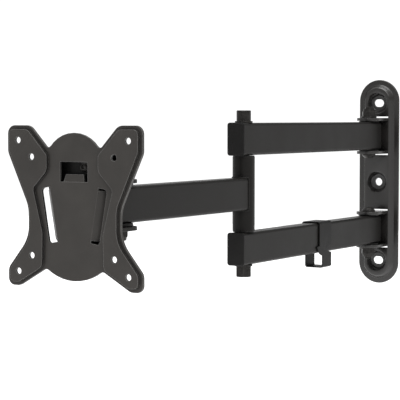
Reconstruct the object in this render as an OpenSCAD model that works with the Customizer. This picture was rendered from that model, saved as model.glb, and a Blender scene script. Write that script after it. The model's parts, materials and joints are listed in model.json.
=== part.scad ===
// Full motion television wall mount: a pressed wall plate, a pair of rear arms,
// a single forearm, and a swivelling, tilting head with a quick-release plate.
// The wall is the plane y = 0 and the arms reach out along -Y. Z is up.

/* [Reach] */
// Wall face to the wall pivots
wall_gap = 28; // [26:1:40]
// Wall pivots to the elbow
rear_arm_l = 272; // [240:2:400]
// Elbow to the head swivel
fore_arm_l = 202; // [190:2:260]
// Head swivel to the back of the television
head_reach = 64; // [64:1:80]
// How far the television plate's centre sits above the arms
plate_lift = 1; // [0:0.5:2]

/* [Arms] */
// Height of the rectangular arm tubes
tube_h = 29; // [26:0.5:30]
// Width of the arm tubes
tube_w = 16.5; // [16:0.5:18]
// Wall thickness of the arm tubes
tube_wall = 1.5; // [1.2:0.1:2]
// Outer corner radius of the arm tubes
tube_corner = 2.5; // [2:0.5:3]
// Centre to centre height of the two rear arms
arm_spacing = 98; // [94:1:110]
// Length of tube past each pivot
tube_overhang = 13; // [12:0.5:14]
// Diameter of the elbow column
column_d = 20; // [19:0.5:22]

/* [Wall plate] */
// Width of the wall plate
plate_w = 45; // [44:1:50]
// Height of the wall plate
plate_h = 216; // [214:1:230]
// Depth of the raised dish
dish_h = 7.5; // [7:0.5:9]
// Width of the flat rim
rim_w = 5.3; // [5:0.1:6]
// Distance between the top and bottom screw holes
hole_span = 167; // [165:1:172]
// Diameter of the wall screw holes
screw_hole_d = 8; // [6:0.5:8]
// Length of the top and bottom screw slots
screw_slot_l = 11; // [9:0.5:12]

/* [Television plate] */
// Diameter of the television screw holes
vesa_hole_d = 5; // [4.5:0.1:5.5]
// Overall width and height of the television plate
vesa_size = 122.6; // [120:0.2:126]
// How far the two pads stand proud of the rim
pad_rise = 2.5; // [2:0.1:3]

/* [Cable clip] */
// Distance from the elbow to the middle of the cable clip
clip_at = 149; // [100:0.5:200]
// Length of the cable clip along the arm
clip_l = 26; // [20:1:30]
// Depth of the cable loop below the arm
clip_drop = 15; // [12:0.5:20]

/* [Hidden] */
$fn = 48;
// the two standard square hole patterns of a television
vesa_outer = 100;
vesa_inner = 75;
// fits and thin parts
sheet = 2;
lug_t = 3;
gap = 0.3;
running = 0.05;
// M8 hardware
m8_r = 4;
m8_head_r = 6.5;
m8_head_h = 9.5;
m8_key = 6;
m8_nut_af = 13;
m8_hex_h = 5;
m8_nut_h = 8;
closed_nut_h = 9.5;
closed_nut_floor = 2;
m8_button_h = 4.4;
m8_button_r = 7;
m8_button_key = 5;
m8_washer_r = 8;
m8_washer_t = 1.6;
m8_clear_r = 4.1;
thread_end = 2;
// M6 hardware of the tilt hinge
m6_r = 3;
m6_clear_r = 3.1;
m6_button_r = 5.2;
m6_button_h = 3.3;
m6_key = 4;
m6_nut_af = 10;
m6_hex_h = 4;
m6_nut_h = 6;
m6_washer_r = 6;
m6_washer_t = 1.2;
// nylon bushes: sleeves sit in round holes in the tubes
bush_r = 6;
bush_sleeve = 7;
flange_r = 10.5;
flange_t = 1;
head_flange_t = 2.2;
head_flange_r = 11;
// places along the arms
pivot_y = -wall_gap;
elbow_y = pivot_y - rear_arm_l;
swivel_y = elbow_y - fore_arm_l;
tv_y = swivel_y - head_reach;
arm_z = arm_spacing / 2;
tube_top = tube_h / 2;
inner_gap = arm_z - tube_top;
// wall hinge brackets
hinge_r = 12.5;
hinge_in = tube_top + flange_t + gap;
hinge_out = hinge_in + lug_t;
slit_spare = 1.5;
// dish of the wall plate
rim_r = plate_w / 2;
end_z = plate_h / 2 - rim_r;
dish_foot_r = rim_r - rim_w;
dish_top_r = dish_foot_r - 3.2;
dish_lean = (dish_foot_r - dish_top_r) / (dish_h - sheet);
dish_skin = sheet * norm([1, dish_lean]);
dimple_r = 11;
dimple_floor_r = 8;
dimple_lean = (dimple_r - dimple_floor_r) / (dish_h - sheet);
dimple_skin = sheet * norm([1, dimple_lean]);
edge_r = 1.5;
// swivel head
lug_r = 14;
head_in = tube_top + head_flange_t + gap;
head_out = head_in + lug_t;
web_at = 17;
web_y = swivel_y - web_at - lug_t;
tilt_y = swivel_y - 35;
yoke_out = lug_r;
yoke_ear_r = 10;
yoke_h = 18;
yoke_corner = 3;
friction_t = 1;
friction_r = 9;
ear_in = yoke_out + friction_t + gap;
ear_t = 2.5;
ear_out = ear_in + ear_t;
ear_r = 9;
bracket_h = 32;
bracket_corner = 2;
// television plate and its quick-release channel
rim_y = tv_y + pad_rise;
back_y = rim_y + sheet;
slot_lean = 9.8;
slot_l = 42;
slot_wd = 8;
slot_mid = [18.5, -5.7];
tab_l = 8;
tab_h = 38;
channel_y = rim_y + 7.7;
channel_back = channel_y + sheet;
channel_top = 41;
channel_bottom = -33;
channel_w = 35;
channel_shoulder = 17;
flank = 6.8;
rail_h = 1.45;
rail_w = 0.5;
rail_foot_w = 3.8;
window_w = 25;
window_z = [19, 34];
lock_at = [4.5, 30];
lock_r = 2.4;
lock_l = 8;
lock_head_r = 4;
lock_head_h = 2.4;
lock_key = 3;
// cable clip
clip_y = elbow_y + clip_at;
clip_wall = 1.2;
clip_play = 0.3;
clip_floor = -tube_top - clip_drop;
strap_z = -7.4;
loop_l = 19;
barb_l = 5.5;
notch_deep = 4.6;

steel = "#333231";
bright = "#3d3c3a";
nylon = "#1d1c1b";

// ---- outlines -------------------------------------------------------------

function unit(v) = v / norm(v);
function xy(p) = [p[0], p[1]];

// The arc of radius r that rounds corner b between its neighbours a and c
function corner_arc(a, b, c, r, steps) =
    r <= 0 ? [b] :
    let (
        u = unit(a - b),
        w = unit(c - b),
        half = acos(u * w) / 2,
        m = b + unit(u + w) * r / sin(half),
        p = b + u * r / tan(half) - m,
        q = b + w * r / tan(half) - m,
        from = atan2(p[1], p[0]),
        sweep = (atan2(q[1], q[0]) - from + 540) % 360 - 180
    )
    [for (i = [0:steps]) m + r * [cos(from + sweep * i / steps), sin(from + sweep * i / steps)]];

// A closed outline from corners given as [x, y, radius]
function rounded(pts, steps = 6) = [
    for (i = [0:len(pts) - 1])
        let (n = len(pts))
        each corner_arc(
            xy(pts[(i + n - 1) % n]), xy(pts[i]), xy(pts[(i + 1) % n]), pts[i][2], steps
        )
];

// A half outline, from top centre to bottom centre, and its mirror image
function mirrored(pts) = concat(
    pts,
    [for (i = [len(pts) - 1:-1:0]) if (pts[i][0] > 0) [-pts[i][0], pts[i][1], pts[i][2]]]
);

module rounded_rect(w, h, r) {
    square([w - 2 * r, h], center = true);
    square([w, h - 2 * r], center = true);
    for (x = [-1, 1], y = [-1, 1])
        translate([x * (w / 2 - r), y * (h / 2 - r)])
            circle(r);
}

// ---- placing --------------------------------------------------------------

// Children drawn in the XZ plane, thickened from y0 to y1
module slab(y0, y1) {
    translate([0, y1, 0])
        rotate([90, 0, 0])
            linear_extrude(y1 - y0)
                children();
}

// Children drawn in the XY plane, thickened from z0 to z1
module layer(z0, z1) {
    translate([0, 0, z0])
        linear_extrude(z1 - z0)
            children();
}

module post(y, z0, z1, r) {
    translate([0, y, z0])
        cylinder(h = z1 - z0, r = r);
}

module ring(y, z0, z1, r_out, r_in) {
    translate([0, y, z0])
        difference() {
            cylinder(h = z1 - z0, r = r_out);
            translate([0, 0, -1])
                cylinder(h = z1 - z0 + 2, r = r_in);
        }
}

module both(axis) {
    children();
    mirror(axis)
        children();
}

// ---- hardware, standing on z = 0 and pointing down ------------------------

module hex_socket(across, depth) {
    cylinder(h = depth + 1, r = across / sqrt(3), $fn = 6);
}

// Socket cap head with its shank below
module cap_screw(length) {
    difference() {
        union() {
            rotate_extrude()
                polygon(rounded([
                    [0, 0, 0], [m8_head_r, 0, 0], [m8_head_r, m8_head_h, 0.8], [0, m8_head_h, 0]
                ], 3));
            translate([0, 0, -length])
                cylinder(h = length + 1, r = m8_r);
        }
        translate([0, 0, m8_head_h - 4])
            hex_socket(m8_key, 4);
    }
}

// Low domed head with its shank below
module button_screw(length, r, head_r, head_h, key) {
    crown_r = head_r * 0.55;
    skirt_h = head_h / 3;
    difference() {
        union() {
            rotate_extrude()
                polygon(rounded([
                    [0, 0, 0], [head_r, 0, 0], [head_r, skirt_h, 0.4],
                    [crown_r, head_h, 1.5], [0, head_h, 0]
                ], 4));
            translate([0, 0, -length])
                cylinder(h = length + 1, r = r);
        }
        translate([0, 0, head_h / 2])
            hex_socket(key, head_h / 2);
    }
}

// Self-locking nut: a hexagon and the round collar of its nylon ring
module lock_nut(af, hex_h, total_h, bore_r) {
    collar_foot = af * 0.47;
    collar_top = af * 0.42;
    difference() {
        union() {
            intersection() {
                cylinder(h = hex_h, r = af / sqrt(3), $fn = 6);
                cylinder(h = hex_h, r1 = af / 2, r2 = af / 2 + 2 * hex_h);
            }
            translate([0, 0, hex_h])
                cylinder(h = total_h - hex_h, r1 = collar_foot, r2 = collar_top);
        }
        translate([0, 0, -1])
            cylinder(h = total_h + 2, r = bore_r);
    }
}

// Plain nut, closed and chamfered at its outer end
module closed_nut(af, bore_r) {
    difference() {
        intersection() {
            cylinder(h = closed_nut_h, r = af / sqrt(3), $fn = 6);
            cylinder(h = closed_nut_h, r1 = af / 2 + closed_nut_h, r2 = af / 2);
        }
        translate([0, 0, -1])
            cylinder(h = closed_nut_h - closed_nut_floor + 1, r = bore_r);
    }
}

// ---- wall plate -----------------------------------------------------------

// A pressed obround: the profile, radius by depth, carried round the outline
module pressing(profile) {
    for (side = [-1, 1])
        translate([0, 0, side * end_z])
            rotate([90, 0, 0])
                rotate_extrude()
                    polygon(profile);
    translate([0, 0, -end_z])
        linear_extrude(2 * end_z)
            polygon(concat(
                [for (p = profile) [p[0], -p[1]]],
                [for (i = [len(profile) - 1:-1:0]) if (profile[i][0] > 0) [-profile[i][0], -profile[i][1]]]
            ));
}

module at_screw_holes() {
    for (z = [-hole_span / 2, 0, hole_span / 2])
        translate([0, 0, z])
            rotate([90, 0, 0])
                children();
}

module wall_plate() {
    foot_in = dish_foot_r + dish_lean * sheet - dish_skin;
    color(steel)
        difference() {
            pressing(rounded([
                [0, 0, 0], [rim_r, 0, 0], [rim_r, sheet, 0.8],
                [dish_foot_r, sheet, edge_r], [dish_top_r, dish_h, edge_r * 1.6], [0, dish_h, 0]
            ], 4));
            difference() {
                pressing([
                    [0, -1], [foot_in, -1], [foot_in, 0],
                    [foot_in - dish_lean * (dish_h - sheet), dish_h - sheet], [0, dish_h - sheet]
                ]);
                at_screw_holes()
                    cylinder(
                        h = dish_h,
                        r1 = dimple_floor_r - dimple_lean * sheet + dimple_skin,
                        r2 = dimple_r - dimple_lean * sheet + dimple_skin
                    );
            }
            at_screw_holes()
                rotate_extrude()
                    polygon(rounded([
                        [0, sheet, 0], [dimple_floor_r, sheet, edge_r], [dimple_r, dish_h, edge_r],
                        [dimple_r + 2, dish_h, 0], [dimple_r + 2, dish_h + 2, 0], [0, dish_h + 2, 0]
                    ], 4));
            at_screw_holes()
                translate([0, 0, -1])
                    cylinder(h = dish_h, r = screw_hole_d / 2);
            slab(-dish_h, 1)
                for (z = [-hole_span / 2, hole_span / 2])
                    translate([0, z])
                        screw_slot();
            both([0, 0, 1])
                for (side = [-1, 1])
                    lug_slit(side);
        }
}

module screw_slot() {
    reach = (screw_slot_l - screw_hole_d) / 2;
    square([2 * reach, screw_hole_d], center = true);
    for (x = [-reach, reach])
        translate([x, 0])
            circle(screw_hole_d / 2);
}

// Slit for one lug of the upper bracket, on its side of the arm
module lug_slit(side) {
    near = hinge_in - gap;
    far = hinge_out + slit_spare;
    translate([-hinge_r - gap, -dish_h - 1, arm_z + (side > 0 ? near : -far)])
        cube([2 * (hinge_r + gap), dish_h + 1.5, far - near]);
}

// ---- wall hinges ----------------------------------------------------------

module hinge_bracket() {
    inside = -(dish_h - sheet);
    color(steel)
        translate([0, 0, arm_z])
            difference() {
                union() {
                    for (side = [-1, 1])
                        layer(side > 0 ? hinge_in : -hinge_out, side > 0 ? hinge_out : -hinge_in)
                            lug_plan(pivot_y, inside + lug_t, hinge_r);
                    translate([-hinge_r, inside, -hinge_out])
                        cube([2 * hinge_r, lug_t, 2 * hinge_out]);
                }
                post(pivot_y, -hinge_out - 1, hinge_out + 1, m8_clear_r);
            }
}

// A strap from y_root to a round end about y_end
module lug_plan(y_end, y_root, r) {
    translate([0, y_end])
        circle(r);
    translate([-r, min(y_end, y_root)])
        square([2 * r, abs(y_root - y_end)]);
}

module upper_hinge_bracket() {
    hinge_bracket();
}

module lower_hinge_bracket() {
    mirror([0, 0, 1])
        hinge_bracket();
}

// The heads face the middle of the mount, the nuts face up and down
module wall_pivot_bolts() {
    shank = 2 * hinge_out + m8_washer_t + m8_nut_h + thread_end;
    color(bright)
        both([0, 0, 1])
            translate([0, pivot_y, arm_z - hinge_out])
                mirror([0, 0, 1])
                    button_screw(shank, m8_r, m8_button_r, m8_button_h, m8_button_key);
}

module wall_pivot_washers() {
    color(bright)
        both([0, 0, 1])
            ring(pivot_y, arm_z + hinge_out, arm_z + hinge_out + m8_washer_t, m8_washer_r, m8_clear_r);
}

module wall_pivot_nuts() {
    color(bright)
        both([0, 0, 1])
            translate([0, pivot_y, arm_z + hinge_out + m8_washer_t])
                lock_nut(m8_nut_af, m8_hex_h, m8_nut_h, m8_r);
}

// ---- rear arms ------------------------------------------------------------

module tube_section() {
    difference() {
        rounded_rect(tube_w, tube_h, tube_corner);
        rounded_rect(tube_w - 2 * tube_wall, tube_h - 2 * tube_wall, tube_corner - tube_wall);
    }
}

module rear_arm() {
    color(steel)
        difference() {
            slab(elbow_y - tube_overhang, pivot_y + tube_overhang)
                tube_section();
            for (y = [pivot_y, elbow_y])
                post(y, -tube_h, tube_h, bush_r);
        }
}

module rear_arm_upper() {
    translate([0, 0, arm_z])
        rear_arm();
}

module rear_arm_lower() {
    translate([0, 0, -arm_z])
        rear_arm();
}

// A top-hat bush whose flange lies on z = 0 and whose sleeve goes down
module flanged_bush(flange, thickness, bore_r) {
    difference() {
        union() {
            cylinder(h = thickness, r = flange);
            translate([0, 0, -bush_sleeve])
                cylinder(h = bush_sleeve + thickness / 2, r = bush_r);
        }
        translate([0, 0, -bush_sleeve - 1])
            cylinder(h = bush_sleeve + thickness + 2, r = bore_r);
    }
}

module wall_pivot_bushes() {
    color(nylon)
        for (z = [-arm_z, arm_z])
            translate([0, pivot_y, z])
                both([0, 0, 1])
                    translate([0, 0, tube_top])
                        flanged_bush(flange_r, flange_t, m8_r + running);
}

// Ribbed plug with a rounded lid, for a tube end that faces -Y
module end_cap() {
    lid = 1.8;
    lip = 0.5;
    dome = 0.7;
    fit_w = tube_w - 2 * tube_wall;
    fit_h = tube_h - 2 * tube_wall;
    depth = 9;
    rib_t = 1.2;
    color(nylon) {
        hull() {
            slab(-lid, 0)
                rounded_rect(tube_w + lip, tube_h + lip, tube_corner, $fn = 32);
            slab(-lid - dome, -lid)
                rounded_rect(tube_w - 2 * dome, tube_h - 2 * dome, tube_corner, $fn = 32);
        }
        slab(-0.5, depth)
            difference() {
                square([fit_w - rib_t, fit_h - rib_t], center = true);
                plug_core(fit_w, fit_h);
            }
        for (y = [1.5, 5.5])
            slab(y, y + rib_t)
                difference() {
                    rounded_rect(fit_w, fit_h, 1);
                    plug_core(fit_w, fit_h);
                }
    }
}

// The hollow middle of a tube plug
module plug_core(fit_w, fit_h) {
    plug_wall = 2;
    square([fit_w - 2 * plug_wall, fit_h - 2 * plug_wall], center = true);
}

module rear_cap_upper() {
    translate([0, elbow_y - tube_overhang, arm_z])
        shallow_cap();
}

module rear_cap_lower() {
    translate([0, elbow_y - tube_overhang, -arm_z])
        shallow_cap();
}

// The elbow spacer takes the middle of the tube, so the plug stops short of it
module shallow_cap() {
    intersection() {
        end_cap();
        translate([-tube_h, -5, -tube_h])
            cube([2 * tube_h, 5 + tube_overhang - bush_r - gap, 2 * tube_h]);
    }
}

// Steel sleeves that stop the elbow bolt crushing the tubes
module elbow_spacers() {
    color(bright)
        for (z = [-arm_z, arm_z])
            ring(elbow_y, z - tube_top, z + tube_top, bush_r, m8_clear_r);
}

// ---- elbow ----------------------------------------------------------------

module elbow_bolt() {
    top = arm_z + tube_top + m8_washer_t;
    color(bright)
        translate([0, elbow_y, top])
            cap_screw(2 * top + closed_nut_h - closed_nut_floor - gap);
}

module elbow_washers() {
    z = arm_z + tube_top;
    color(bright)
        both([0, 0, 1])
            ring(elbow_y, z, z + m8_washer_t, m8_washer_r, m8_clear_r);
}

module elbow_nut() {
    color(bright)
        translate([0, elbow_y, -(arm_z + tube_top + m8_washer_t)])
            mirror([0, 0, 1])
                closed_nut(m8_nut_af, m8_r);
}

// ---- forearm --------------------------------------------------------------

column_top = inner_gap - gap - flange_t;

module elbow_column() {
    color(steel)
        ring(elbow_y, -column_top, column_top, column_d / 2, bush_r);
}

module elbow_bushes() {
    color(nylon)
        both([0, 0, 1])
            translate([0, elbow_y, column_top])
                flanged_bush(column_d / 2 - 0.3, flange_t, m8_r + running);
}

module forearm_tube() {
    color(steel)
        difference() {
            slab(swivel_y - tube_overhang + 1, elbow_y)
                tube_section();
            post(swivel_y, -tube_h, tube_h, bush_r);
            post(elbow_y, -tube_h, tube_h, column_d / 2);
        }
}

module forearm_cap() {
    lid = 1.5;
    end_y = swivel_y - tube_overhang + 1;
    fit_w = tube_w - 2 * tube_wall;
    fit_h = tube_h - 2 * tube_wall;
    color(nylon) {
        slab(end_y - lid, end_y)
            rounded_rect(tube_w, tube_h, tube_corner);
        slab(end_y - lid / 2, end_y + 4)
            difference() {
                rounded_rect(fit_w, fit_h, 1);
                plug_core(fit_w, fit_h);
            }
    }
}

module head_bushes() {
    color(nylon)
        both([0, 0, 1])
            translate([0, swivel_y, tube_top])
                flanged_bush(head_flange_r, head_flange_t, m8_r + running);
}

// ---- swivel head ----------------------------------------------------------

// A U of sheet lug_t thick: outline in (depth, height), opening towards +Y
module swivel_bracket() {
    bend_r = 5;
    root = -web_at - lug_t;
    color(steel)
        translate([0, swivel_y, 0])
            difference() {
                intersection() {
                    translate([-lug_r, 0, 0])
                        rotate([90, 0, 90])
                            linear_extrude(2 * lug_r)
                                difference() {
                                    polygon(rounded([
                                        [lug_r, head_out, 0], [lug_r, -head_out, 0],
                                        [root, -head_out, bend_r], [root, head_out, bend_r]
                                    ]));
                                    polygon(rounded([
                                        [lug_r + 1, head_in, 0], [lug_r + 1, -head_in, 0],
                                        [root + lug_t, -head_in, bend_r - lug_t],
                                        [root + lug_t, head_in, bend_r - lug_t]
                                    ]));
                                }
                    layer(-head_out - 1, head_out + 1)
                        lug_plan(0, root - 1, lug_r);
                }
                post(0, -head_out - 1, head_out + 1, m8_clear_r);
            }
}

module swivel_bolt() {
    color(bright)
        translate([0, swivel_y, head_out + m8_washer_t])
            button_screw(
                2 * head_out + m8_washer_t + m8_nut_h + thread_end,
                m8_r, m8_button_r, m8_button_h, m8_button_key
            );
}

module swivel_washers() {
    color(bright)
        ring(swivel_y, head_out, head_out + m8_washer_t, m8_washer_r, m8_clear_r);
}

module swivel_nut() {
    color(bright)
        translate([0, swivel_y, -head_out])
            mirror([0, 0, 1])
                lock_nut(m8_nut_af, m8_hex_h, m8_nut_h, m8_r);
}

// An ear in the YZ plane from y_root to a round end about the tilt axis
module ear(x0, x1, y_root, r, hole_r) {
    translate([x0, 0, 0])
        rotate([90, 0, 90])
            linear_extrude(x1 - x0)
                difference() {
                    union() {
                        translate([tilt_y, 0])
                            circle(r);
                        translate([min(y_root, tilt_y), -r])
                            square([abs(y_root - tilt_y), 2 * r]);
                    }
                    translate([tilt_y, 0])
                        circle(hole_r);
                }
}

module tilt_yoke() {
    color(steel) {
        both([1, 0, 0])
            ear(yoke_out - lug_t, yoke_out, web_y - lug_t, yoke_ear_r, m6_r + running);
        slab(web_y - lug_t, web_y)
            rounded_rect(2 * yoke_out, 2 * yoke_h, yoke_corner);
    }
}

module across(x0, x1, r_out, r_in) {
    translate([x0, tilt_y, 0])
        rotate([0, 90, 0])
            difference() {
                cylinder(h = x1 - x0, r = r_out);
                translate([0, 0, -1])
                    cylinder(h = x1 - x0 + 2, r = r_in);
            }
}

module tilt_friction_washers() {
    color(nylon)
        both([1, 0, 0])
            across(yoke_out, yoke_out + friction_t, friction_r, m6_clear_r);
}

// ---- tilting head ---------------------------------------------------------

module tilt_bracket() {
    color(steel) {
        both([1, 0, 0])
            ear(ear_in, ear_out, channel_back, ear_r, m6_clear_r);
        slab(channel_back, channel_back + ear_t)
            rounded_rect(2 * ear_out, bracket_h, bracket_corner);
    }
}

module tilt_bolt() {
    color(bright)
        translate([ear_out + m6_washer_t, tilt_y, 0])
            rotate([0, 90, 0])
                button_screw(
                    2 * ear_out + 2 * m6_washer_t + m6_nut_h + 1,
                    m6_r, m6_button_r, m6_button_h, m6_key
                );
}

module tilt_washers() {
    color(bright)
        both([1, 0, 0])
            across(ear_out, ear_out + m6_washer_t, m6_washer_r, m6_clear_r);
}

module tilt_nut() {
    color(bright)
        translate([-ear_out - m6_washer_t, tilt_y, 0])
            rotate([0, -90, 0])
                lock_nut(m6_nut_af, m6_hex_h, m6_nut_h, m6_r);
}

// Everything on the plate side is drawn about the plate's own centre
module on_plate() {
    translate([0, 0, plate_lift])
        children();
}

// A section in (outward, depth) carried along the right-hand slot's inner edge
module along_slot(length) {
    translate([slot_mid[0], rim_y, slot_mid[1]])
        rotate([0, slot_lean, 0])
            translate([0, 0, -length / 2])
                linear_extrude(length)
                    children();
}

// Web and two shallow rails behind the tabs' ends, welded to the tilt bracket
module release_channel() {
    deep = channel_y - rim_y;
    touch = (tab_l + gap) * sqrt(2);
    rail_top = deep - rail_h;
    root = flank - rail_foot_w;
    color(steel)
        difference() {
            on_plate() {
                both([1, 0, 0])
                    along_slot(tab_h)
                        polygon([
                            [touch - deep, deep], [touch - rail_top, rail_top],
                            [touch - rail_top + rail_w, rail_top], [flank, deep],
                            [flank + sheet / 2, deep + sheet], [root, deep + sheet], [root, deep]
                        ]);
                slab(channel_y, channel_back)
                    channel_outline();
            }
            lock_hole(lock_r);
        }
}

// Wide above the slots, then in step with their lean
module channel_outline() {
    shoulder_w = slot_x(channel_shoulder - slot_mid[1]) + flank;
    narrow = slot_x(-tab_h / 2) + flank;
    half = [
        [channel_w, channel_top, 4], [channel_w, channel_shoulder + 5, 4],
        [shoulder_w, channel_shoulder, 2], [narrow, slot_mid[1] - tab_h / 2, 0],
        [narrow - 4, channel_bottom, 4]
    ];
    polygon(rounded(mirrored(half)));
}

// Half width of the wedge at a height above the slots' middle
function slot_x(dz) = slot_mid[0] + dz * tan(slot_lean);

module lock_hole(r) {
    translate([lock_at[0], 0, lock_at[1] + plate_lift])
        slab(channel_y - 1, channel_back + 1)
            circle(r);
}

module lock_screw() {
    color(bright)
        translate([lock_at[0], channel_y, lock_at[1] + plate_lift])
            rotate([90, 0, 0])
                button_screw(lock_l, lock_r, lock_head_r, lock_head_h, lock_key);
}

// ---- television plate -----------------------------------------------------

half_w = vesa_size / 2;

// Right half of the outline: centre lobe, upper wing, waist, lower wing, lower lobe
rim_half = [
    [0, half_w + 13, 27.4], [23.2, half_w - 18.2, 3],
    [40.1, half_w, 9], [half_w, half_w, 6.5], [half_w, 40.8, 10],
    [42, -0.8, 27], [42, -24.2, 27],
    [half_w, -47.9, 8], [half_w, -half_w, 5.5], [50.5, -half_w, 8],
    [25.5, -46.9, 4], [0, -65.8, 41.6]
];

// Right pad, a little in from the rim, with its own inner edge
pad_edge = half_w - 3;
pad_half = [
    [41.4, pad_edge, 7], [pad_edge, pad_edge, 4], [pad_edge, 41.5, 8],
    [39.4, -0.2, 24], [39.4, -25.1, 24],
    [pad_edge, -48.7, 7], [pad_edge, -pad_edge, 4], [50.2, -pad_edge, 5],
    [28.2, -45.8, 6], [27.6, -20, 14], [36.4, 13.6, 5], [23.4, 27, 8], [23.4, 38.8, 4]
];

module pad(inset) {
    offset(delta = -inset)
        polygon(rounded(pad_half));
}

module slot_shape() {
    r = 2;
    translate(slot_mid)
        rotate(-slot_lean)
            polygon(rounded([
                [0, slot_l / 2, 0], [slot_wd, slot_l / 2, r * 1.5],
                [slot_wd, -slot_l / 2, r], [0, -slot_l / 2, 0]
            ]));
}

module vesa_plate() {
    color(steel)
        on_plate() {
            difference() {
                union() {
                    slab(rim_y, back_y)
                        polygon(rounded(mirrored(rim_half), 10));
                    both([1, 0, 0])
                        slab(tv_y, rim_y + 0.5)
                            pad(0);
                }
                both([1, 0, 0]) {
                    slab(tv_y + sheet, back_y + 1)
                        pad(sheet);
                    slab(rim_y - 1, back_y + 1)
                        slot_shape();
                }
                slab(rim_y - 1, back_y + 1)
                    window_shape();
                for (pitch = [vesa_outer, vesa_inner], x = [-1, 1], z = [-1, 1])
                    translate([x * pitch / 2, 0, z * pitch / 2])
                        slab(tv_y - 1, back_y + 1)
                            circle(vesa_hole_d / 2);
            }
            both([1, 0, 0])
                along_slot(tab_h)
                    polygon(wedge_tab);
            window_tongue();
        }
}

// Section of the tab bent back at 45 degrees from the slot's inner edge
wedge_tab = [for (p = [[0, 0], [tab_l, 0], [tab_l, sheet], [0, sheet]])
    [p[0] - p[1], p[0] + p[1]] * sin(45)];

module window_shape() {
    translate([-window_w / 2, window_z[0]])
        square([window_w, window_z[1] - window_z[0]]);
}

// Lip left standing at the foot of the window, leaning back
module window_tongue() {
    lean = 20;
    root = 0.5;
    translate([0, rim_y, window_z[0] - root])
        rotate([-lean, 0, 0])
            slab(0, sheet)
                polygon([[-9.5, 0], [-8.5, 6.5], [7.5, 6.5], [9.5, 0]]);
}

// ---- cable clip -----------------------------------------------------------

module cable_clip() {
    in_w = tube_w + 2 * clip_play;
    out_w = in_w + 2 * clip_wall;
    top = tube_top + clip_play;
    loop_top = -tube_top - 2.5;
    color(nylon)
        translate([0, clip_y, -arm_z]) {
            difference() {
                slab(-clip_l / 2, clip_l / 2)
                    difference() {
                        polygon(rounded([
                            [-out_w / 2, top + clip_wall, 2.5], [out_w / 2, top + clip_wall, 2.5],
                            [out_w / 2, clip_floor, 2.5], [-out_w / 2, clip_floor, 2.5]
                        ]));
                        polygon(rounded([
                            [-in_w / 2, top, 1], [in_w / 2, top, 1],
                            [in_w / 2, clip_floor + clip_wall, 1], [-in_w / 2, clip_floor + clip_wall, 1]
                        ]));
                    }
                translate([in_w / 2 - 1, -clip_l, clip_floor + clip_wall + 1])
                    cube([clip_wall + 2, 2 * clip_l, strap_z - clip_floor - clip_wall - 1]);
                translate([-out_w, -clip_l, clip_floor - 1])
                    cube([2 * out_w, 1.5 * clip_l - loop_l, loop_top - clip_floor + 1]);
            }
            translate([in_w / 2, 0, 0])
                rotate([90, 0, 90])
                    linear_extrude(clip_wall)
                        clip_catch();
        }
}

// Near side below the strap, seen from +X: a barb, a tapered notch, then the loop's leg
module clip_catch() {
    end = clip_l / 2;
    start = end - loop_l;
    neck_z = -tube_top - 1;
    leg_foot = clip_floor + clip_wall;
    polygon([
        [-end, strap_z + 1], [-end, strap_z], [-end - barb_l, strap_z - 0.8], [-end + 1, neck_z],
        [start, neck_z - 2], [start, leg_foot], [end, leg_foot], [end, neck_z + 0.5],
        [start + notch_deep, strap_z - notch_deep], [end, strap_z], [end, strap_z + 1]
    ]);
}

// ---- what is drawn --------------------------------------------------------

wall_plate();
upper_hinge_bracket();
lower_hinge_bracket();
wall_pivot_bolts();
wall_pivot_nuts();
wall_pivot_washers();
rear_arm_upper();
rear_arm_lower();
wall_pivot_bushes();
rear_cap_upper();
rear_cap_lower();
elbow_spacers();
elbow_bolt();
elbow_washers();
elbow_nut();
elbow_column();
elbow_bushes();
forearm_tube();
forearm_cap();
head_bushes();
swivel_bracket();
swivel_bolt();
swivel_washers();
swivel_nut();
tilt_yoke();
tilt_friction_washers();
tilt_bracket();
tilt_bolt();
tilt_nut();
tilt_washers();
release_channel();
lock_screw();
vesa_plate();
cable_clip();
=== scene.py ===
"""Looks for a full motion television wall mount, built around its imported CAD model.

Metres, +Z up. The wall is the plane y = 0 and the arms reach out along -Y.
"""
import json
import math

import bmesh
import bpy
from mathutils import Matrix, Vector

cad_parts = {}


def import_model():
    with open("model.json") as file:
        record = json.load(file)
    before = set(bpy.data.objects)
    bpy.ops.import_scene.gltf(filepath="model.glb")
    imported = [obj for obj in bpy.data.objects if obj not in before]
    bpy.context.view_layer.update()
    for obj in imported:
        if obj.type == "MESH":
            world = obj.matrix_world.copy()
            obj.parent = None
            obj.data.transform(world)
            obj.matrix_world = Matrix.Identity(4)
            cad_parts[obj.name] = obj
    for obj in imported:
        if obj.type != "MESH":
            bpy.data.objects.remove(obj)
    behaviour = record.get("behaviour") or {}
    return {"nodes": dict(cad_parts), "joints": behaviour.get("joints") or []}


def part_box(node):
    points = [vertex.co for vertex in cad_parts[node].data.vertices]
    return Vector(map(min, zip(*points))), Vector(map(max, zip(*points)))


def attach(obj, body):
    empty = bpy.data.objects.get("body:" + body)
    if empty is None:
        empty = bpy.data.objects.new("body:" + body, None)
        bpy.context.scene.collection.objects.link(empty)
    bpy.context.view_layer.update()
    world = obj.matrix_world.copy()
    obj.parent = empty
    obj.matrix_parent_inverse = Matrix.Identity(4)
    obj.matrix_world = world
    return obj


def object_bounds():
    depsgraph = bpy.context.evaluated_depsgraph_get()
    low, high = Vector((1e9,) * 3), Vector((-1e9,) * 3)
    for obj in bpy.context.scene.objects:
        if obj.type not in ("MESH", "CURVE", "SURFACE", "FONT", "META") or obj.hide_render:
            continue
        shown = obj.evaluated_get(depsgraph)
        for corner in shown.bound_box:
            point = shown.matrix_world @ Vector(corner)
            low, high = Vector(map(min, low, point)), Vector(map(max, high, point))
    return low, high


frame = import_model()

CAD_BOX = [list(corner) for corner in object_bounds()]
NODES = frame["nodes"]
MM = 0.001


# ---- places, all taken from the frame ---------------------------------------

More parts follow.
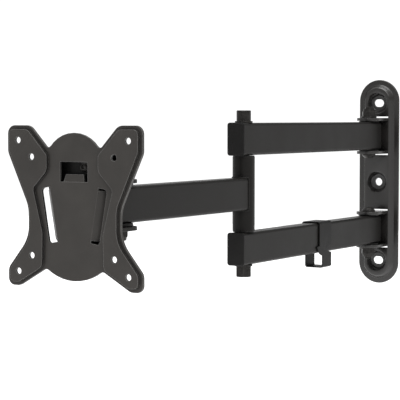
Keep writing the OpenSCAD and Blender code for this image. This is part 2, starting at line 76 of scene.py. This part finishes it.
def joint_point(name):
    for joint in frame["joints"]:
        if joint["name"] == name:
            return Vector(joint["pos_m"])
    raise ValueError(name)


ELBOW = joint_point("elbow_swivel")


# ---- materials ---------------------------------------------------------------

class Nodes:
    """A material's node tree, with short ways to add and join nodes."""

    def __init__(self, name):
        self.material = bpy.data.materials.new(name)
        self.material.use_nodes = True
        self.tree = self.material.node_tree
        self.shader = self.tree.nodes["Principled BSDF"]
        self.coords = self.add("ShaderNodeTexCoord").outputs["Object"]

    def add(self, kind, **settings):
        node = self.tree.nodes.new(kind)
        for key, value in settings.items():
            setattr(node, key, value)
        return node

    def join(self, source, target):
        self.tree.links.new(source, target)

    def noise(self, scale, detail=4.0, rough=0.55, stretch=None):
        texture = self.add("ShaderNodeTexNoise")
        texture.inputs["Scale"].default_value = scale
        texture.inputs["Detail"].default_value = detail
        texture.inputs["Roughness"].default_value = rough
        source = self.coords
        if stretch:
            mapping = self.add("ShaderNodeMapping")
            mapping.inputs["Scale"].default_value = stretch
            self.join(source, mapping.inputs["Vector"])
            source = mapping.outputs["Vector"]
        self.join(source, texture.inputs["Vector"])
        return texture.outputs["Fac"]

    def span(self, source, low, high, start=0.3, end=0.7):
        """A number that runs from low to high as source runs from start to end."""
        node = self.add("ShaderNodeMapRange")
        node.inputs["From Min"].default_value = start
        node.inputs["From Max"].default_value = end
        node.inputs["To Min"].default_value = low
        node.inputs["To Max"].default_value = high
        self.join(source, node.inputs["Value"])
        return node.outputs["Result"]

    def ramp(self, source, stops):
        node = self.add("ShaderNodeValToRGB")
        elements = node.color_ramp.elements
        while len(elements) < len(stops):
            elements.new(0.5)
        for element, (place, colour) in zip(elements, stops):
            element.position = place
            element.color = (*colour, 1)
        self.join(source, node.inputs["Fac"])
        return node.outputs["Color"]

    def mix(self, factor, first, second):
        node = self.add("ShaderNodeMix", data_type="RGBA")
        self.join(factor, node.inputs["Factor"])
        self.join(first, node.inputs["A"])
        self.join(second, node.inputs["B"])
        return node.outputs["Result"]

    def bumps(self, *layers):
        """Stack bump layers, each (height source, distance in metres, strength)."""
        normal = None
        for source, distance, strength in layers:
            node = self.add("ShaderNodeBump")
            node.inputs["Distance"].default_value = distance
            node.inputs["Strength"].default_value = strength
            self.join(source, node.inputs["Height"])
            if normal:
                self.join(normal, node.inputs["Normal"])
            normal = node.outputs["Normal"]
        self.join(normal, self.shader.inputs["Normal"])

    def edges(self, width):
        """1 within about width of a sharp edge, 0 on open faces, tested at each shaded point."""
        rounded = self.add("ShaderNodeBevel", samples=8)
        rounded.inputs["Radius"].default_value = width
        turned = self.add("ShaderNodeVectorMath", operation="DOT_PRODUCT")
        self.join(rounded.outputs["Normal"], turned.inputs[0])
        self.join(self.add("ShaderNodeNewGeometry").outputs["Normal"], turned.inputs[1])
        return self.span(turned.outputs["Value"], 1.0, 0.0, 0.86, 0.99)

    def painted_cavity_shade(self, colour, reach):
        """The colour with painted shade: darkened towards near black where other faces close in within
        reach.
        """
        open_air = self.add("ShaderNodeAmbientOcclusion", samples=8)
        open_air.inputs["Distance"].default_value = reach
        shade = self.span(open_air.outputs["AO"], 0.12, 1.0, 0.35, 0.9)
        # painted shade: a near-black colour laid in where occlusion finds other faces close by
        black = self.ramp(shade, [(0.0, (0.002, 0.002, 0.002)), (1.0, (0.003, 0.003, 0.003))])
        return self.mix(shade, black, colour)


def grey(level, warm=0.0):
    return (level * (1 + warm), level, level * (1 - warm))


# width of the painted highlight along the powder coat's sharp edges
EDGE_HIGHLIGHT_WIDTH = 0.5 * MM
# reach of the painted shade in crevices
PAINTED_SHADE_REACH = 14 * MM


def powder_coat(name, level, gloss, rough=(0.36, 0.46), peel=0.5):
    """Satin black powder coat: fine orange peel, a painted highlight along sharp edges and painted shade in
    crevices.
    """
    n = Nodes(name)
    cloud = n.noise(38, 5)
    peel_height = n.noise(1150, 2, 0.45)
    dust = n.noise(5200, 1, 0.5)
    base = n.ramp(cloud, [(0.32, grey(level * 0.88, 0.08)), (0.7, grey(level * 1.12, 0.08))])
    # painted highlight: the coat's colour 4.5 to 6 times lighter near sharp edges
    edge = n.ramp(cloud, [(0.3, grey(level * 4.5, 0.02)), (0.7, grey(level * 6, 0.02))])
    # painted highlight near edges and painted shade in crevices, both mixed into the coat's colour
    n.join(n.painted_cavity_shade(n.mix(n.edges(EDGE_HIGHLIGHT_WIDTH), base, edge), PAINTED_SHADE_REACH), n.shader.inputs["Base Color"])
    n.join(n.span(cloud, rough[0], rough[1]), n.shader.inputs["Roughness"])
    n.bumps((peel_height, 0.06 * MM, peel), (dust, 0.01 * MM, 0.25))
    n.shader.inputs["Metallic"].default_value = 0.0
    n.shader.inputs["Specular IOR Level"].default_value = gloss
    n.shader.inputs["Coat Weight"].default_value = 0.06
    n.shader.inputs["Coat Roughness"].default_value = 0.3
    return n.material


def blackened_steel(name):
    """Black oxide fasteners: a dark oily metal, browner and brighter where it is rubbed."""
    n = Nodes(name)
    grain = n.noise(420, 5, 0.6)
    turned = n.noise(240, 2, 0.4, stretch=(0.6, 0.6, 9))
    base = n.ramp(grain, [(0.3, grey(0.013, 0.06)), (0.68, grey(0.028, 0.05))])
    worn = n.ramp(grain, [(0.3, grey(0.06, 0.05)), (0.7, grey(0.10, 0.04))])
    n.join(n.mix(n.edges(0.3 * MM), base, worn), n.shader.inputs["Base Color"])
    n.join(n.span(grain, 0.3, 0.48), n.shader.inputs["Roughness"])
    n.bumps((turned, 0.04 * MM, 0.35), (grain, 0.02 * MM, 0.3))
    n.shader.inputs["Metallic"].default_value = 0.6
    n.shader.inputs["Specular IOR Level"].default_value = 0.15
    return n.material


def moulded_plastic(name, level, rough):
    """Black moulded plastic with a spark-eroded grain and faint flow lines."""
    n = Nodes(name)
    flow = n.noise(60, 3, 0.5, stretch=(1, 0.25, 1))
    grain = n.noise(2300, 2, 0.6)
    pits = n.add("ShaderNodeTexVoronoi")
    pits.inputs["Scale"].default_value = 1900
    n.join(n.coords, pits.inputs["Vector"])
    base = n.ramp(flow, [(0.3, grey(level * 0.85, 0.04)), (0.7, grey(level * 1.2, 0.04))])
    # painted highlight: the plastic's colour about twice as light near sharp edges
    edge = n.ramp(flow, [(0.3, grey(level * 1.8, 0.02)), (0.7, grey(level * 2.2, 0.02))])
    n.join(n.mix(n.edges(0.4 * MM), base, edge), n.shader.inputs["Base Color"])
    n.join(n.span(grain, rough[0], rough[1]), n.shader.inputs["Roughness"])
    n.bumps((pits.outputs["Distance"], 0.03 * MM, 0.35), (grain, 0.02 * MM, 0.35))
    n.shader.inputs["Specular IOR Level"].default_value = 0.12
    return n.material


def zinc_plate(name):
    """Bright zinc: cloudy spangle under fine drawing marks."""
    n = Nodes(name)
    spangle = n.noise(300, 4, 0.6)
    drawn = n.noise(500, 3, 0.5, stretch=(1, 1, 0.08))
    n.join(
        n.ramp(spangle, [(0.3, (0.42, 0.42, 0.41)), (0.7, (0.62, 0.62, 0.6))]),
        n.shader.inputs["Base Color"],
    )
    n.join(n.span(spangle, 0.25, 0.42), n.shader.inputs["Roughness"])
    n.bumps((drawn, 0.03 * MM, 0.4))
    n.shader.inputs["Metallic"].default_value = 1.0
    return n.material


PLATE_COAT = powder_coat("plate_powder_coat", 0.033, 0.14)
ARM_COAT = powder_coat("arm_powder_coat", 0.008, 0.07)
WALL_COAT = powder_coat("wall_powder_coat", 0.012, 0.42, rough=(0.2, 0.28))
WELD_COAT = powder_coat("weld_powder_coat", 0.009, 0.09, rough=(0.4, 0.55), peel=1.0)
FASTENER = blackened_steel("black_fastener")
PLASTIC = moulded_plastic("black_plastic", 0.006, (0.42, 0.56))
NYLON = moulded_plastic("black_nylon", 0.010, (0.36, 0.5))
ZINC = zinc_plate("zinc_steel")


# ---- carried-over CAD nodes: a material and softened edges ---------------------

def own_normals(smooth_below):
    """A modifier tree that shades by the mesh's own faces, smooth only across shallow angles."""
    tree = bpy.data.node_groups.new("own_normals", "GeometryNodeTree")
    for side in ("INPUT", "OUTPUT"):
        tree.interface.new_socket("Geometry", in_out=side, socket_type="NodeSocketGeometry")
    start = tree.nodes.new("NodeGroupInput")
    end = tree.nodes.new("NodeGroupOutput")
    angle = tree.nodes.new("GeometryNodeInputMeshEdgeAngle")
    steep = tree.nodes.new("FunctionNodeCompare")
    steep.operation = "GREATER_THAN"
    steep.inputs[1].default_value = math.radians(smooth_below)
    shade = tree.nodes.new("GeometryNodeSetMeshNormal")
    shade.mode = "SHARPNESS"
    shade.inputs["Remove Custom"].default_value = True
    tree.links.new(angle.outputs["Unsigned Angle"], steep.inputs[0])
    tree.links.new(steep.outputs["Result"], shade.inputs["Edge Sharpness"])
    tree.links.new(start.outputs[0], shade.inputs["Mesh"])
    tree.links.new(shade.outputs["Mesh"], end.inputs[0])
    return tree


OWN_NORMALS = own_normals(12)
SHARP_ANGLE = 32


def soften(obj, width):
    """Join the mesh's seams and round its sharp edges; the shape and size stay."""
    weld = obj.modifiers.new("weld", "WELD")
    weld.merge_threshold = 0.002 * MM
    flat = obj.modifiers.new("flat", "DECIMATE")
    flat.decimate_type = "DISSOLVE"
    flat.angle_limit = math.radians(0.5)
    bevel = obj.modifiers.new("edges", "BEVEL")
    bevel.width = width
    bevel.segments = 3
    bevel.limit_method = "ANGLE"
    bevel.angle_limit = math.radians(SHARP_ANGLE)
    bevel.use_clamp_overlap = True
    bevel.miter_outer = "MITER_ARC"
    normals = obj.modifiers.new("normals", "NODES")
    normals.node_group = OWN_NORMALS


def finish_node(name, material, edge=None):
    obj = NODES[name]
    obj.data.materials.clear()
    obj.data.materials.append(material)
    for polygon in obj.data.polygons:
        polygon.material_index = 0
    if edge:
        soften(obj, edge)


FINISHES = {
    "wall_plate": (WALL_COAT, 0.35 * MM),
    "upper_hinge_bracket": (WALL_COAT, 0.4 * MM),
    "lower_hinge_bracket": (WALL_COAT, 0.4 * MM),
    "rear_arm_upper": (ARM_COAT, None),
    "rear_arm_lower": (ARM_COAT, None),
    "elbow_column": (ARM_COAT, None),
    "forearm_tube": (ARM_COAT, None),
    "swivel_bracket": (ARM_COAT, 0.4 * MM),
    "tilt_yoke": (ARM_COAT, 0.4 * MM),
    "tilt_bracket": (ARM_COAT, 0.4 * MM),
    "release_channel": (ARM_COAT, 0.3 * MM),
    "vesa_plate": (PLATE_COAT, 0.45 * MM),
    "wall_pivot_bolts": (FASTENER, None),
    "wall_pivot_nuts": (FASTENER, None),
    "wall_pivot_washers": (FASTENER, 0.2 * MM),
    "elbow_bolt": (FASTENER, None),
    "elbow_nut": (FASTENER, None),
    "elbow_washers": (FASTENER, 0.2 * MM),
    "swivel_bolt": (FASTENER, None),
    "swivel_nut": (FASTENER, None),
    "swivel_washers": (FASTENER, 0.2 * MM),
    "tilt_bolt": (FASTENER, None),
    "tilt_nut": (FASTENER, None),
    "tilt_washers": (FASTENER, 0.15 * MM),
    "lock_screw": (FASTENER, None),
    "elbow_spacers": (ZINC, None),
    "wall_pivot_bushes": (NYLON, 0.2 * MM),
    "elbow_bushes": (NYLON, 0.2 * MM),
    "head_bushes": (NYLON, 0.3 * MM),
    "tilt_friction_washers": (NYLON, 0.15 * MM),
    "forearm_cap": (PLASTIC, 0.35 * MM),
    "rear_cap_upper": (PLASTIC, 0.3 * MM),
    "rear_cap_lower": (PLASTIC, 0.3 * MM),
    "cable_clip": (PLASTIC, 0.4 * MM),
}
for node_name, (node_material, node_edge) in FINISHES.items():
    finish_node(node_name, node_material, node_edge)


# ---- mesh helpers --------------------------------------------------------------

def piece(name, bm, material, body, smooth=35):
    """A finished mesh object that rides on a body, smooth below the angle given in degrees."""
    bmesh.ops.recalc_face_normals(bm, faces=bm.faces)
    for face in bm.faces:
        face.smooth = True
    for edge in bm.edges:
        edge.smooth = not edge.is_manifold or edge.calc_face_angle(0) < math.radians(smooth)
    mesh = bpy.data.meshes.new(name)
    bm.to_mesh(mesh)
    bm.free()
    mesh.materials.append(material)
    obj = bpy.data.objects.new(name, mesh)
    bpy.context.scene.collection.objects.link(obj)
    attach(obj, body)
    return obj


def loop_tube(bm, points, radius_at, sides=8):
    """A closed ring of tube through points that join up end to end."""
    rings = []
    count = len(points)
    for i, point in enumerate(points):
        ahead = (points[(i + 1) % count] - points[i - 1]).normalized()
        side = ahead.cross(Vector((0, 0, 1)))
        if side.length < 1e-4:
            side = ahead.cross(Vector((1, 0, 0)))
        side.normalize()
        rise = side.cross(ahead)
        radius = radius_at(i)
        rings.append([
            bm.verts.new(point + radius * (math.cos(a) * side + math.sin(a) * rise))
            for a in (2 * math.pi * k / sides for k in range(sides))
        ])
    for i in range(count):
        first, second = rings[i], rings[(i + 1) % count]
        for k in range(sides):
            bm.faces.new((first[k], first[(k + 1) % sides], second[(k + 1) % sides], second[k]))


# ---- screw threads ---------------------------------------------------------------

M8_RADIUS = 4 * MM
M8_PITCH = 1.25 * MM
THREAD_PROUD = 0.02 * MM
STEPS_PER_TURN = 24
ROWS_PER_PITCH = 6


def thread(name, body, start, direction, length):
    """The threaded end of an M8 bolt: a ridged skin a hair proud of the plain shank."""
    bm = bmesh.new()
    start = Vector(start)
    direction = Vector(direction).normalized()
    side = direction.orthogonal().normalized()
    other = direction.cross(side)
    rows = int(length / M8_PITCH * ROWS_PER_PITCH)
    deep = 0.5 * M8_PITCH
    grid = []
    for row in range(rows + 1):
        along = length * row / rows
        taper = min(1.0, (length - along) / (0.8 * M8_PITCH))
        ring = []
        for k in range(STEPS_PER_TURN):
            angle = 2 * math.pi * k / STEPS_PER_TURN
            phase = (along / M8_PITCH - k / STEPS_PER_TURN) % 1.0
            ridge = 1 - abs(2 * phase - 1)
            r = M8_RADIUS - deep * (1 - ridge) * 0.8 - 0.7 * deep * (1 - taper)
            r += THREAD_PROUD
            outward = math.cos(angle) * side + math.sin(angle) * other
            ring.append(bm.verts.new(start + direction * along + r * outward))
        grid.append(ring)
    for low, high in zip(grid, grid[1:]):
        for k in range(STEPS_PER_TURN):
            after = (k + 1) % STEPS_PER_TURN
            bm.faces.new((low[k], low[after], high[after], high[k]))
    bm.faces.new(list(reversed(grid[0])))
    bm.faces.new(grid[-1])
    return piece(name, bm, FASTENER, body, smooth=50)


def bolt_ends():
    """Thread on the part of each bolt that stands out of its lock nut."""
    for name, body, bolt, nut, both_ends in (
        ("swivel_thread", "swivel_head", "swivel_bolt", "swivel_nut", False),
        ("pivot_thread", "wall_bracket", "wall_pivot_bolts", "wall_pivot_nuts", True),
    ):
        low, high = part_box(bolt)
        nut_low, nut_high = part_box(nut)
        y = (low.y + high.y) / 2
        thread(name + "_low", body, (0, y, nut_low.z), (0, 0, -1), nut_low.z - low.z)
        if both_ends:
            thread(name + "_high", body, (0, y, nut_high.z), (0, 0, 1), high.z - nut_high.z)


# ---- weld beads ------------------------------------------------------------------

WELD_RADIUS = 0.9 * MM
ARC_STEPS = 22
SIDE_STEPS = 26


def weld_radius(i):
    """The bead's radius at point i: a coarse ripple with a finer one over it."""
    return WELD_RADIUS * (1 + 0.13 * math.sin(i * 2.59) + 0.06 * math.sin(i * 1.9))


def column_weld():
    """Fillet where the forearm's tube meets the round column, on all four sides."""
    low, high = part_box("forearm_tube")
    column_low, column_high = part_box("elbow_column")
    radius = (column_high.x - column_low.x) / 2
    reach = math.asin((high.x - low.x) / 2 / radius)
    points = []
    for z, far_z, sign in ((high.z, low.z, 1), (low.z, high.z, -1)):
        for k in range(ARC_STEPS + 1):
            a = sign * reach * (1 - 2 * k / ARC_STEPS)
            points.append(Vector((radius * math.sin(a), ELBOW.y - radius * math.cos(a), z)))
        corner = points[-1] if sign == 1 else points[0]
        for k in range(1, SIDE_STEPS):
            points.append(Vector((corner.x, corner.y, z + (far_z - z) * k / SIDE_STEPS)))
    bm = bmesh.new()
    loop_tube(bm, points, weld_radius)
    return piece("column_weld", bm, WELD_COAT, "forearm", smooth=80)


column_weld()
bolt_ends()


# ---- camera, floor and light -------------------------------------------------------

CAMERA_AZIMUTH = math.radians(30.44)
CAMERA_PITCH = math.radians(3.07)
CAMERA_LENS = 137.85
CAMERA_PLACE = (0.6612, -1.5024, 0.0679)
FLOOR_DROP = 0.42
SWEEP_DIRECTION = (-0.506, 0.862, 0)


def camera():
    """A long lens, right of the arms and a little above them, looking back at the wall plate."""
    forward = Vector((
        -math.sin(CAMERA_AZIMUTH) * math.cos(CAMERA_PITCH),
        math.cos(CAMERA_AZIMUTH) * math.cos(CAMERA_PITCH),
        -math.sin(CAMERA_PITCH),
    ))
    data = bpy.data.cameras.new("camera")
    data.sensor_width = 36
    data.lens = CAMERA_LENS
    data.clip_start = 0.05
    data.clip_end = 30
    obj = bpy.data.objects.new("camera", data)
    obj.location = CAMERA_PLACE
    obj.rotation_euler = forward.to_track_quat("-Z", "Y").to_euler()
    bpy.context.scene.collection.objects.link(obj)
    bpy.context.scene.camera = obj


def area_light(name, place, target, size, power):
    data = bpy.data.lights.new(name, "AREA")
    data.energy = power
    data.shape = "SQUARE"
    data.size = size
    obj = bpy.data.objects.new(name, data)
    obj.location = place
    obj.rotation_euler = (Vector(target) - Vector(place)).to_track_quat("-Z", "Y").to_euler()
    bpy.context.scene.collection.objects.link(obj)


def floor():
    bm = bmesh.new()
    bmesh.ops.create_grid(bm, x_segments=1, y_segments=1, size=6)
    mesh = bpy.data.meshes.new("floor")
    bm.to_mesh(mesh)
    bm.free()
    obj = bpy.data.objects.new("floor", mesh)
    obj.location = (0, 0, CAD_BOX[0][2] - FLOOR_DROP)
    n = Nodes("pale_floor")
    cloud = n.noise(1.5, 3)
    pale = n.ramp(cloud, [(0.3, grey(0.86)), (0.7, grey(0.9))])
    n.join(pale, n.shader.inputs["Base Color"])
    n.shader.inputs["Roughness"].default_value = 0.9
    n.shader.inputs["Emission Color"].default_value = (1, 1, 1, 1)
    n.shader.inputs["Emission Strength"].default_value = 0.6
    mesh.materials.append(n.material)
    bpy.context.scene.collection.objects.link(obj)


def world():
    """A dim room, white at the horizon and overhead, with a white sweep behind the wall plate."""
    made = bpy.data.worlds.new("studio")
    made.use_nodes = True
    tree = made.node_tree
    direction = tree.nodes.new("ShaderNodeTexCoord").outputs["Generated"]

    def ramp(source, start, end, low, high):
        node = tree.nodes.new("ShaderNodeMapRange")
        for socket, value in zip(("From Min", "From Max", "To Min", "To Max"), (start, end, low, high)):
            node.inputs[socket].default_value = value
        tree.links.new(source, node.inputs["Value"])
        return node.outputs["Result"]

    sweep = tree.nodes.new("ShaderNodeVectorMath")
    sweep.operation = "DOT_PRODUCT"
    sweep.inputs[1].default_value = SWEEP_DIRECTION
    tree.links.new(direction, sweep.inputs[0])
    split = tree.nodes.new("ShaderNodeSeparateXYZ")
    tree.links.new(direction, split.inputs[0])

    def brighter(first, second):
        node = tree.nodes.new("ShaderNodeMath")
        node.operation = "MAXIMUM"
        tree.links.new(first, node.inputs[0])
        tree.links.new(second, node.inputs[1])
        return node.outputs["Value"]

    behind = ramp(sweep.outputs["Value"], 0.86, 0.96, 0.0, 1.1)
    overhead = ramp(split.outputs["Z"], 0.15, 0.8, 0.24, 1.1)
    horizon = ramp(split.outputs["Z"], 0.03, 0.3, 1.05, 0.0)
    tree.links.new(
        brighter(behind, brighter(overhead, horizon)), tree.nodes["Background"].inputs["Strength"]
    )
    tree.nodes["Background"].inputs["Color"].default_value = (1, 1, 1, 1)
    bpy.context.scene.world = made


camera()
floor()
world()
centre = Vector((0, (CAD_BOX[0][1] + CAD_BOX[1][1]) / 2, 0))
area_light("key", (0.9, -1.3, 1.5), centre, 1.0, 11)
area_light("top", (0.1, -0.3, 1.6), centre, 1.2, 26)
bpy.context.scene.view_settings.view_transform = "Standard"
